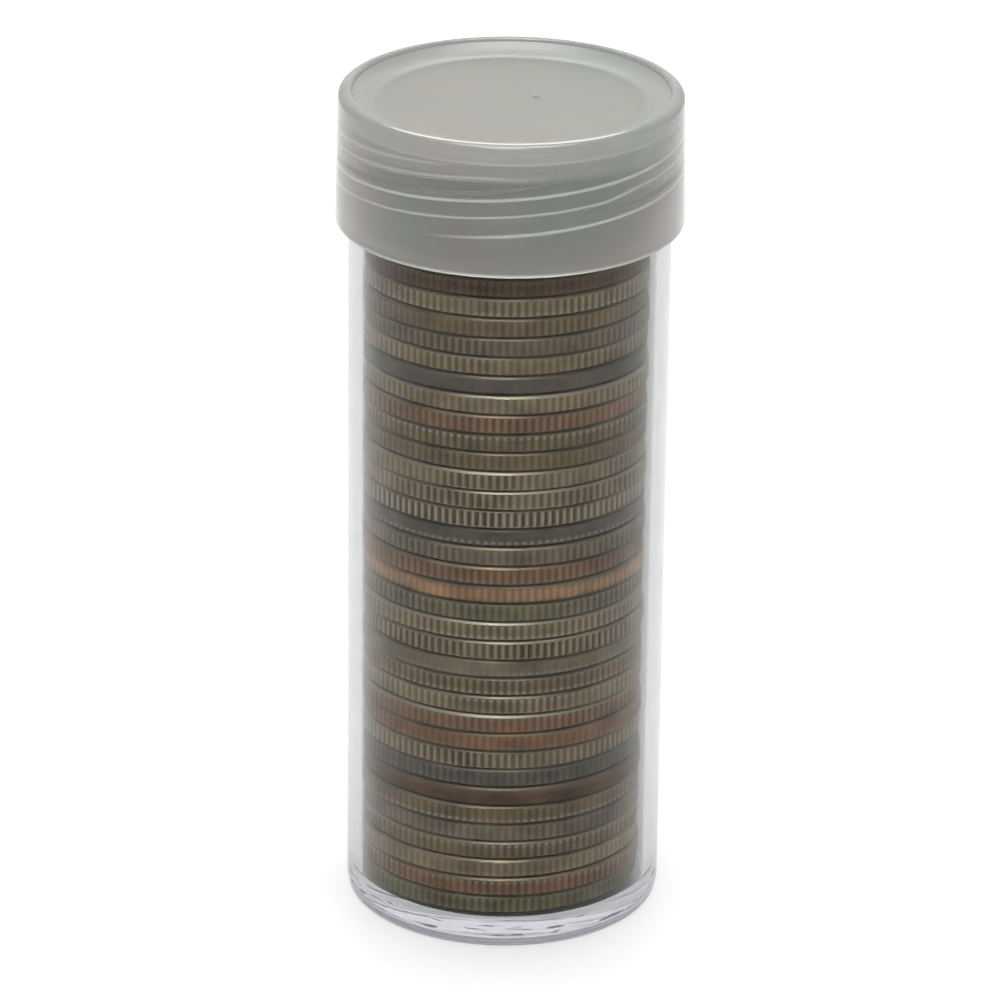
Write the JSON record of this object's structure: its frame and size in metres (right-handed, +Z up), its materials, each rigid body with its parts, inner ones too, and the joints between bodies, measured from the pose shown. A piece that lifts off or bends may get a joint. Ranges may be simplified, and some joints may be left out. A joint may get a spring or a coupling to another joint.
{
  "type": "coin tube",
  "caption": "Clear round tube with a frosted screw-on cap, holding a full roll of reeded coins.",
  "frame": {"origin": "centre of the foot ring's standing face", "axes": "+Z up along the tube towards the cap, -Y towards the pictured side"},
  "size_m": [0.0296, 0.0296, 0.0739],
  "materials": {
    "clear_styrene": "clear polished moulding",
    "clad_coin": "worn copper-nickel cladding, toned",
    "frosted_cap": "translucent natural moulding, satin"
  },
  "bodies": {
    "tube": {"tube": "clear_styrene", "coin_01": "clad_coin", "coin_02": "clad_coin", "coin_03": "clad_coin", "coin_04": "clad_coin", "coin_05": "clad_coin", "coin_06": "clad_coin", "coin_07": "clad_coin", "coin_08": "clad_coin", "coin_09": "clad_coin", "coin_10": "clad_coin", "coin_11": "clad_coin", "coin_12": "clad_coin", "coin_13": "clad_coin", "coin_14": "clad_coin", "coin_15": "clad_coin", "coin_16": "clad_coin", "coin_17": "clad_coin", "coin_18": "clad_coin", "coin_19": "clad_coin", "coin_20": "clad_coin", "coin_21": "clad_coin", "coin_22": "clad_coin", "coin_23": "clad_coin", "coin_24": "clad_coin", "coin_25": "clad_coin", "coin_26": "clad_coin", "coin_27": "clad_coin", "coin_28": "clad_coin", "coin_29": "clad_coin", "coin_30": "clad_coin", "coin_31": "clad_coin", "coin_32": "clad_coin", "coin_33": "clad_coin", "coin_34": "clad_coin", "coin_35": "clad_coin", "coin_36": "clad_coin", "coin_37": "clad_coin", "coin_38": "clad_coin", "coin_39": "clad_coin"},
    "top_coin": {"coin_40": "clad_coin"},
    "cap": {"cap": "frosted_cap"}
  },
  "joints": [
    {"name": "cap_turn", "type": "hinge", "parent": "tube", "child": "top_coin", "pos_m": [0, 0, 0.07], "axis": [0, 0, 1], "range_deg": [0, 600]},
    {"name": "cap_rise", "type": "slide", "parent": "top_coin", "child": "cap", "axis": [0, 0, 1], "range_m": [0, 0.0105]}
  ],
  "couplings": [
    {"joint": "cap_turn", "follows": "cap_rise", "rad_per_m": 997.33}
  ]
}
